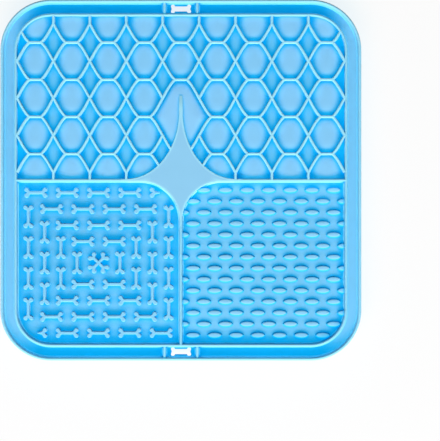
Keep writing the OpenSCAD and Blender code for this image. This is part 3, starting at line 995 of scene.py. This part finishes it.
# Bones. Square rings of small raised bones fill the left field, with a crossed pair in their
# middle. Each is moulded on the sheet with a fillet at its foot and a rounded top edge.
bone_length = 12.5 * mm
bone_end = 5.4 * mm
bone_shaft = 1.5 * mm
bone_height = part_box("bone_ring_1")[1][2] - sheet_top
bone_cut = -0.85 * mm
bone_notch = 1.5 * mm
bone_cross_drop = 0.03 * mm
bone_round = 0.3 * mm
bone_draft = 0.12 * mm
bone_fillet = 0.2 * mm
top_lip = 0.1 * mm
bone_rings = 4
field_middle = (wall_half + wall_inside) / 2
field_half = (wall_inside - wall_half) / 2
first_ring = 0.264 * field_half
ring_pitch = 0.2 * field_half
level_pitch = 0.386 * field_half
upright_pitch = 0.379 * field_half
bone_silicone = silicone(
    "bone_silicone", (0.26, 0.66, 0.94), (0.004, 0.42, 0.74), 2.5 * mm, 0.4, 0.85
)


def placed(outline, x, y, turn):
    """An outline turned and moved to its place in plan."""
    c, s = np.cos(turn), np.sin(turn)
    return outline @ np.array([[c, s], [-s, c]]) + [x, y]


def raised(outlines, height):
    """Bones on given outlines, open at the top: each ring of points is the outline moved out
    or in along its normals, up the fillet, the drafted side and the rounded edge."""
    section = wall_section(bone_round, height, bone_round, bone_draft, bone_fillet)
    side = section[: len(section) // 2 + 1]
    side = np.concatenate([side, side[-1:] + [[top_lip, 0]]])
    out = -side[:, 0] - bone_round
    normal = outward(outlines)
    flat = outlines[:, None] + out[None, :, None, None] * normal[:, None]
    levels = np.broadcast_to(sheet_top + side[None, :, None, 1:], (*flat.shape[:3], 1))
    points = np.concatenate([flat, levels], axis=3)
    faces = grid_faces(points.shape[1], points.shape[2], wrap_columns=True)
    return copies(points.reshape(points.shape[0], -1, 3), faces)


def bone_set(places, height=bone_height, cut=False):
    """Bones at the given places and turns. A cut one keeps its far end, and its shaft ends in
    a small tip at the cut."""
    outline = bone_outline(bone_length, bone_end, bone_shaft, bone_notch)
    if cut:
        tip = [[bone_cut, -bone_shaft / 6], [bone_cut, bone_shaft / 6]]
        outline = np.concatenate([outline[outline[:, 0] < bone_cut], tip])
    return raised(np.stack([
        placed(outline, x - field_middle, y - field_middle, turn) for x, y, turn in places
    ]), height)


for ring in range(1, bone_rings + 1):
    reach = first_ring + (ring - 1) * ring_pitch
    places = [
        ((i - ring / 2) * level_pitch, side * reach, 0)
        for side in (-1, 1) for i in range(ring + 1)
    ]
    places += [
        (side * reach, (i - (ring - 1) / 2) * upright_pitch, np.pi / 2)
        for side in (-1, 1) for i in range(ring)
    ]
    sets = []
    if ring == bone_rings:
        low_left, high_right = places.pop(0), places.pop(2 * ring)
        sets = [bone_set([(*low_left[:2], np.pi), high_right], cut=True)]
    stand(
        "bone_ring_%d" % ring, sets + [bone_set(places)], bone_silicone,
        top=sheet_top + bone_height / 2,
    )
crossed = [
    bone_set([(0, 0, np.pi / 4)]),
    bone_set([(0, 0, -np.pi / 4)], bone_height - bone_cross_drop),
]
stand(
    "crossed_bones", crossed, bone_silicone,
    top=sheet_top + bone_height / 2,
)

# Ovals. Staggered rows of pointed oval mounds fill the right field. The ones at the end of a
# row run half into the divider or the wall.
oval_length = 8.2 * mm
oval_width = 3.3 * mm
oval_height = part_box("oval_bumps")[1][2] - sheet_top
oval_side = 0.75 * oval_height
oval_spine = 1.2 * mm
oval_foot = 0.2 * mm
oval_draft = 0.32 * mm
oval_flatness = 0.4
oval_point_power = 1.02
oval_steps = 20
ovals_per_row = 8
oval_rows = 14
oval_margin = 4.8 * mm
flank_shade_slope = 8
flank_shade_offset = 6.6
oval_pitch = (wall_inside - wall_half) / (ovals_per_row - 0.5)
oval_row_pitch = (wall_inside - wall_half - 2 * oval_margin) / (oval_rows - 1)
oval_silicone = silicone(
    "oval_silicone", (0.27, 0.645, 0.93), (0.003, 0.44, 0.76), 2.5 * mm, 0.4, 0.85
)
# The ovals' feet and flanks are painted a blue with almost no red, as painted shade on their sides.
painted_edge_shading(oval_silicone, (0.04, 0.58, 0.95))


def in_right_field(flat):
    """Keeps outlines inside the middle lines of the walls round the right field, whose upper
    left corner the star rounds, and whose lower right corner the inner wall rounds."""
    x = np.clip(flat[..., 0], 0, wall_middle)
    y = np.clip(flat[..., 1], -wall_middle, 0)
    held = hold_in(np.stack([x, y], axis=-1), (corner_inset, -corner_inset), (1, -1), wall_corner)
    star_centre = (star_hollow_centre, -star_hollow_centre)
    return hold_in(held, star_centre, (-1, 1), star_hollow_centre)


def oval_outline():
    """A pointed oval: the half length times the cosine, and the half width times the sine
    raised to a power a little over one, which draws its ends in."""
    turn = np.linspace(0, 2 * np.pi, oval_steps, endpoint=False)
    y = np.sign(np.sin(turn)) * np.abs(np.sin(turn)) ** oval_point_power
    return np.stack([oval_length / 2 * np.cos(turn), oval_width / 2 * y], axis=1)


def oval_mound():
    """One mound as a stack of outlines. Two make the foot's fillet, and one, drawn in by the
    draft, the shoulder. Above it each is drawn in towards a short spine by the cosine of an
    angle, while its height goes up from the shoulder to the top by the angle's sine, to a
    power that flattens the top. The edge share is one on the side and falls off over the
    dome."""
    base = oval_outline()
    foot = base + oval_foot * outward(base)
    outline = base - oval_draft * outward(base)
    spine = np.stack([np.clip(outline[:, 0], -oval_spine, oval_spine), 0 * outline[:, 0]], axis=1)
    turn = np.linspace(0, np.pi / 2, 6)
    dome = spine[None] + np.cos(turn)[:, None, None] * (outline - spine)[None]
    flat = np.concatenate([foot[None], base[None], dome])
    swell = np.sin(turn) ** oval_flatness
    level = np.concatenate([[0, oval_foot], oval_side + (oval_height - oval_side) * swell])
    share = np.concatenate([[1, 1], np.clip(flank_shade_slope * np.cos(turn) - flank_shade_offset, 0, 1)])
    return *stacked(flat, sheet_top + level), np.repeat(share, oval_steps)


mound, mound_faces, mound_share = oval_mound()
places = np.array([
    (wall_half + (k + (i % 2) / 2) * oval_pitch, -wall_half - oval_margin - i * oval_row_pitch, 0)
    for i in range(oval_rows) for k in range(ovals_per_row)
])
mounds = places[:, None, None] + mound[None]
mounds[..., :2] = in_right_field(mounds[..., :2])
stand(
    "oval_bumps", [copies(mounds.reshape(len(places), -1, 3), mound_faces)],
    oval_silicone, edge_share=np.tile(mound_share, len(places)),
)

# Suction cups. Twenty-five small cups are moulded on the underside: a solid stem, a thin bell
# that flattens when it is pressed down, and a flat lip that seals on the floor.
cups_per_side = 5
cup_pitch = 37 * mm
stem_radius = 3.2 * mm
stem_flare = 0.8 * mm
stem_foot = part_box("cup_stems")[0][2]
cup_radius = 8 * mm
cup_wall = 0.9 * mm
lip_inside = 5.8 * mm
lip_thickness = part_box("cup_lips")[1][2]
cup_turns = 32
bell_power = 1.5
hollow_power = 1.7
cup_silicone = silicone(
    "cup_silicone", (0.14, 0.52, 0.88), painted_shade_colour, 4 * mm, 0.3, 0.85, 0.42
)


def turned(profile):
    """A closed profile of radius and height, turned round the upright axis of each cup."""
    turn = np.linspace(0, 2 * np.pi, cup_turns, endpoint=False)
    profile = np.array(profile)
    ring = np.stack([
        profile[None, :, 0] * np.cos(turn)[:, None],
        profile[None, :, 0] * np.sin(turn)[:, None],
        np.broadcast_to(profile[None, :, 1], (cup_turns, len(profile))),
    ], axis=2).reshape(-1, 3)
    index = np.arange(cups_per_side) - (cups_per_side - 1) / 2
    x, y = np.meshgrid(index * cup_pitch, index * cup_pitch)
    places = np.stack([x.ravel(), y.ravel(), 0 * x.ravel()], axis=1)
    faces = grid_faces(cup_turns, len(profile), wrap_rows=True)
    return copies(places[:, None] + ring[None], faces)


stem_profile = [
    (0, sheet_base + sink), (stem_radius + stem_flare, sheet_base + sink),
    (stem_radius + stem_flare, sheet_base), (stem_radius + 0.3 * mm, sheet_base - 0.2 * mm),
    (stem_radius, sheet_base - 0.6 * mm), (stem_radius, stem_foot), (0, stem_foot),
]
bell = np.linspace(0, 1, 7)
outer_r = stem_radius + (lip_inside + cup_wall - stem_radius) * bell
outer_z = stem_foot + (lip_thickness - stem_foot) * bell ** bell_power
inner_r = lip_inside * bell[::-1]
hollow_top = stem_foot - cup_wall
inner_z = hollow_top + (lip_thickness - hollow_top) * bell[::-1] ** hollow_power
skirt_profile = [(0, stem_foot + sink), (stem_radius - sink, stem_foot + sink)]
skirt_profile += list(zip(outer_r, outer_z))
skirt_profile += list(zip(inner_r, inner_z))
lip_edge = 0.2 * mm
lip_profile = [
    (lip_inside, 0), (cup_radius - lip_edge, 0), (cup_radius, lip_edge),
    (cup_radius - 0.3 * lip_edge, lip_thickness - lip_edge), (cup_radius - lip_edge, lip_thickness),
    (lip_inside + cup_wall, lip_thickness), (lip_inside, lip_thickness), (lip_inside, 0),
]
for name, profile in (
    ("cup_stems", stem_profile), ("cup_skirts", skirt_profile), ("cup_lips", lip_profile),
):
    new_piece(name, new_bmesh([turned(profile)]), cup_silicone)
